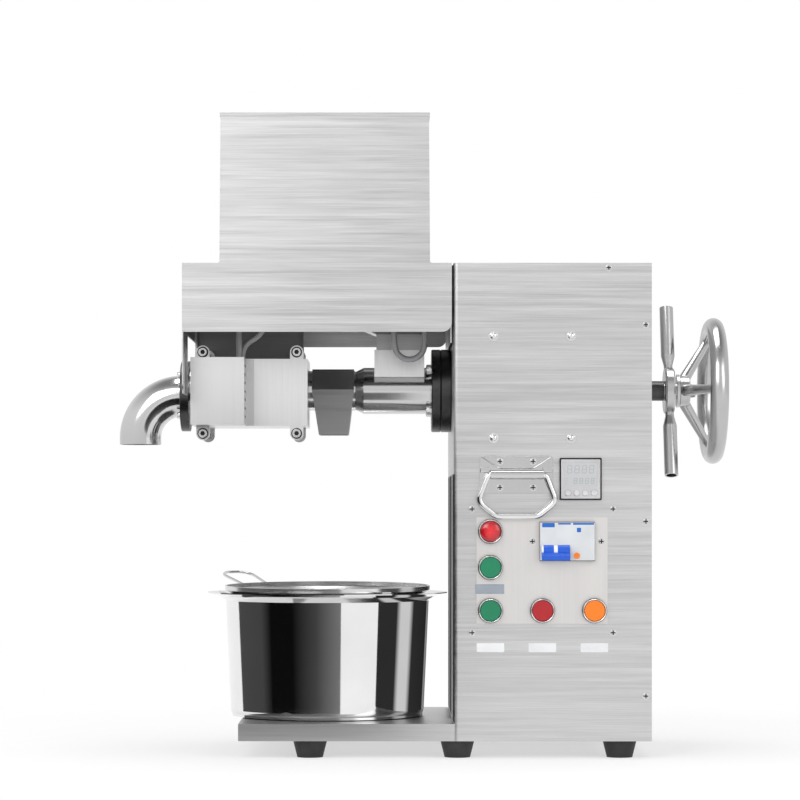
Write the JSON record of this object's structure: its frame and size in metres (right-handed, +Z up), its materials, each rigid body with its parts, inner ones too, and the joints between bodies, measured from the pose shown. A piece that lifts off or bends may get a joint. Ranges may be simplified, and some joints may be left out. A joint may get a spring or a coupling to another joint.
{
  "type": "screw oil press",
  "caption": "Bench screw oil press with a cabinet drive, heated pressing head, hopper on a hood, cake elbow, feed handwheel, control panel and a collecting pot with a strainer.",
  "frame": {"origin": "on the floor under the middle of the whole press", "axes": "+X along the press screw from the cake outlet to the handwheel, +Z up, -Y towards the operator"},
  "size_m": [0.7297, 0.3536, 0.7534],
  "materials": {
    "brushed_stainless": "brushed along its length",
    "polished_stainless": "polished",
    "machined_steel": "machined",
    "fastener_steel": "bright zinc",
    "dark_steel": "black oxide",
    "galvanised_sheet": "dull",
    "chromed_iron": "chromed",
    "cast_housing": "as cast",
    "motor_paint": "satin",
    "black_rubber": "matte",
    "duct_plastic": "matte",
    "lead_sleeve": "satin",
    "black_plastic": "satin",
    "white_plastic": "satin",
    "ring_metal": "satin, over black plastic",
    "key_plastic": "satin",
    "lamp_red": "translucent gloss",
    "button_green": "gloss",
    "button_red": "gloss",
    "button_orange": "gloss",
    "toggle_blue": "gloss"
  },
  "bodies": {
    "frame": {"base_pan": "brushed_stainless", "feet": "black_rubber", "cabinet_body": "brushed_stainless", "cabinet_cover": "brushed_stainless", "panel_screws": "fastener_steel", "gearbox_housing": "cast_housing", "gearbox_cover": "cast_housing", "hex_bolts": "fastener_steel", "shaft_bearings": "machined_steel", "motor_stator": "motor_paint", "press_flanges": "dark_steel", "feed_barrel": "polished_stainless", "feed_throat": "brushed_stainless", "press_cage": "polished_stainless", "press_head": "polished_stainless", "heater_blocks": "brushed_stainless", "cartridge_heaters": "machined_steel", "heater_tie_bolts": "fastener_steel", "terminal_box": "brushed_stainless", "cake_elbow": "polished_stainless", "oil_chute": "brushed_stainless", "hood": "brushed_stainless", "hood_seal": "black_rubber", "hanger_plate": "galvanised_sheet", "wiring_duct": "duct_plastic", "lead_front": "lead_sleeve", "lead_rear": "lead_sleeve", "lead_loop": "lead_sleeve", "control_plate": "brushed_stainless", "pilot_lamp": "lamp_red", "button_housings": "ring_metal", "breaker_body": "white_plastic", "controller_case": "black_plastic", "spindle_nut": "dark_steel", "handle_plates": "brushed_stainless", "cable_gland": "duct_plastic"},
    "gear_sleeve": {"output_gear": "machined_steel"},
    "layshaft": {"layshaft": "machined_steel"},
    "motor_rotor": {"motor_rotor": "machined_steel"},
    "thrust_carriage": {"thrust_cup": "machined_steel"},
    "press_screw": {"press_screw": "machined_steel"},
    "feed_wheel": {"adjusting_spindle": "machined_steel", "handwheel": "chromed_iron"},
    "lock_lever": {"lock_lever": "chromed_iron"},
    "heat_button": {"heat_button": "button_green"},
    "press_button": {"press_button": "button_green"},
    "stop_button": {"stop_button": "button_red"},
    "clean_button": {"clean_button": "button_orange"},
    "breaker_toggle": {"breaker_toggle": "toggle_blue"},
    "breaker_test": {"breaker_test": "button_orange"},
    "controller_key_1": {"controller_key_1": "key_plastic"},
    "controller_key_2": {"controller_key_2": "key_plastic"},
    "controller_key_3": {"controller_key_3": "key_plastic"},
    "controller_key_4": {"controller_key_4": "key_plastic"},
    "front_bail": {"front_bail": "polished_stainless"},
    "rear_bail": {"rear_bail": "polished_stainless"},
    "pot": {"pot": "polished_stainless"},
    "strainer": {"strainer": "polished_stainless"},
    "hopper": {"hopper": "brushed_stainless", "hopper_gasket": "black_rubber"}
  },
  "joints": [
    {"name": "output_gear_spin", "type": "hinge", "parent": "frame", "child": "gear_sleeve", "pos_m": [0.2012, 0, 0.433], "axis": [1, 0, 0], "continuous": true},
    {"name": "layshaft_spin", "type": "hinge", "parent": "frame", "child": "layshaft", "pos_m": [0.1962, 0, 0.346], "axis": [1, 0, 0], "continuous": true},
    {"name": "motor_spin", "type": "hinge", "parent": "frame", "child": "motor_rotor", "pos_m": [0.1162, 0, 0.281], "axis": [1, 0, 0], "continuous": true},
    {"name": "feed_slide", "type": "slide", "parent": "frame", "child": "thrust_carriage", "axis": [1, 0, 0], "range_m": [-0.0026, 0.0026]},
    {"name": "press_screw_spin", "type": "hinge", "parent": "thrust_carriage", "child": "press_screw", "pos_m": [0.0262, 0, 0.433], "axis": [1, 0, 0], "continuous": true},
    {"name": "handwheel_turn", "type": "hinge", "parent": "thrust_carriage", "child": "feed_wheel", "pos_m": [0.3262, 0, 0.433], "axis": [1, 0, 0], "range_deg": [-360, 360]},
    {"name": "lock_lever_turn", "type": "hinge", "parent": "frame", "child": "lock_lever", "pos_m": [0.3007, 0, 0.433], "axis": [1, 0, 0], "range_deg": [-30, 60]},
    {"name": "heat_button_press", "type": "slide", "parent": "frame", "child": "heat_button", "axis": [0, 1, 0], "range_m": [0, 0.003], "stiffness_N_per_m": 250, "springref_m": -0.002},
    {"name": "press_button_press", "type": "slide", "parent": "frame", "child": "press_button", "axis": [0, 1, 0], "range_m": [0, 0.003], "stiffness_N_per_m": 250, "springref_m": -0.002},
    {"name": "stop_button_press", "type": "slide", "parent": "frame", "child": "stop_button", "axis": [0, 1, 0], "range_m": [0, 0.003], "stiffness_N_per_m": 250, "springref_m": -0.002},
    {"name": "clean_button_press", "type": "slide", "parent": "frame", "child": "clean_button", "axis": [0, 1, 0], "range_m": [0, 0.003], "stiffness_N_per_m": 250, "springref_m": -0.002},
    {"name": "breaker_toggle_flip", "type": "hinge", "parent": "frame", "child": "breaker_toggle", "pos_m": [0.1541, -0.1615, 0.2404], "axis": [-1, 0, 0], "range_deg": [0, 60]},
    {"name": "breaker_test_press", "type": "slide", "parent": "frame", "child": "breaker_test", "axis": [0, 1, 0], "range_m": [0, 0.0014], "stiffness_N_per_m": 200, "springref_m": -0.001},
    {"name": "controller_key_1_press", "type": "slide", "parent": "frame", "child": "controller_key_1", "axis": [0, 1, 0], "range_m": [0, 0.0008], "stiffness_N_per_m": 200, "springref_m": -0.001},
    {"name": "controller_key_2_press", "type": "slide", "parent": "frame", "child": "controller_key_2", "axis": [0, 1, 0], "range_m": [0, 0.0008], "stiffness_N_per_m": 200, "springref_m": -0.001},
    {"name": "controller_key_3_press", "type": "slide", "parent": "frame", "child": "controller_key_3", "axis": [0, 1, 0], "range_m": [0, 0.0008], "stiffness_N_per_m": 200, "springref_m": -0.001},
    {"name": "controller_key_4_press", "type": "slide", "parent": "frame", "child": "controller_key_4", "axis": [0, 1, 0], "range_m": [0, 0.0008], "stiffness_N_per_m": 200, "springref_m": -0.001},
    {"name": "front_bail_swing", "type": "hinge", "parent": "frame", "child": "front_bail", "pos_m": [0.1097, -0.16185, 0.329], "axis": [-1, 0, 0], "range_deg": [0, 90]},
    {"name": "rear_bail_swing", "type": "hinge", "parent": "frame", "child": "rear_bail", "pos_m": [0.1097, 0.16185, 0.329], "axis": [1, 0, 0], "range_deg": [0, 90]},
    {"name": "pot_draw", "type": "slide", "parent": "frame", "child": "pot", "axis": [0, -1, 0], "range_m": [0, 0.32]},
    {"name": "strainer_lift", "type": "slide", "parent": "pot", "child": "strainer", "axis": [0, 0, 1], "range_m": [0, 0.12]},
    {"name": "hopper_lift", "type": "slide", "parent": "frame", "child": "hopper", "axis": [0, 0, 1], "range_m": [0, 0.12]}
  ],
  "couplings": [
    {"joint": "layshaft_spin", "follows": "output_gear_spin", "ratio": -3.8333},
    {"joint": "motor_spin", "follows": "output_gear_spin", "ratio": 12.778},
    {"joint": "press_screw_spin", "follows": "output_gear_spin", "ratio": 1},
    {"joint": "feed_slide", "follows": "handwheel_turn", "m_per_rad": 0.00039789}
  ]
}
